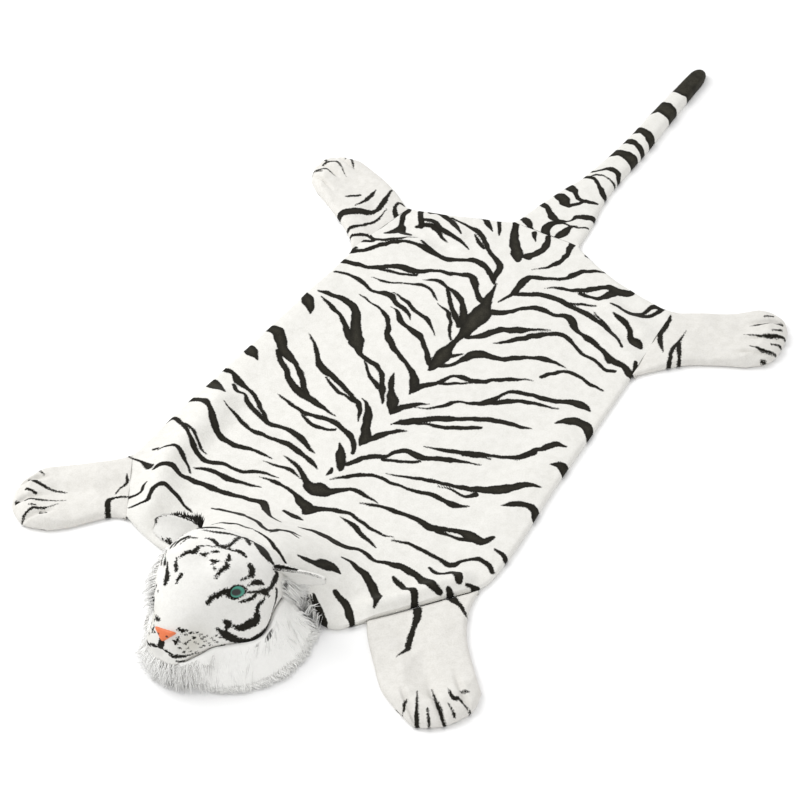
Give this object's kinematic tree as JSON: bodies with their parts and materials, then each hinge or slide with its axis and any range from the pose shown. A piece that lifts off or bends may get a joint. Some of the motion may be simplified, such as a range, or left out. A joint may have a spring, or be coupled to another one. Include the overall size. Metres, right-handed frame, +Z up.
{
  "type": "animal shaped kids rug",
  "caption": "Plush kids' rug in the shape of a lying white tiger, with a stuffed head, ruff, padded legs and tail.",
  "frame": {"origin": "on the floor, under the middle of the rug's bounding box", "axes": "+Z up off the floor, +Y from the nose towards the tip of the tail, +X towards the animal's left"},
  "size_m": [0.7657, 1.4678, 0.1293],
  "materials": {
    "striped_plush": "short white plush with printed black tiger stripes",
    "white_plush": "short white plush with a few printed marks",
    "face_plush": "short white plush with printed face markings",
    "long_pile": "long white pile",
    "eye": "glossy moulded eye",
    "nose": "satin moulded nose"
  },
  "bodies": {
    "root": {"body_panel": "striped_plush", "tail": "striped_plush", "foreleg_left": "white_plush", "foreleg_right": "white_plush", "hindleg_left": "white_plush", "hindleg_right": "white_plush", "head": "face_plush", "ear_left": "face_plush", "ear_right": "face_plush", "ruff": "long_pile", "eye_left": "eye", "eye_right": "eye", "nose": "nose"}
  },
  "joints": []
}
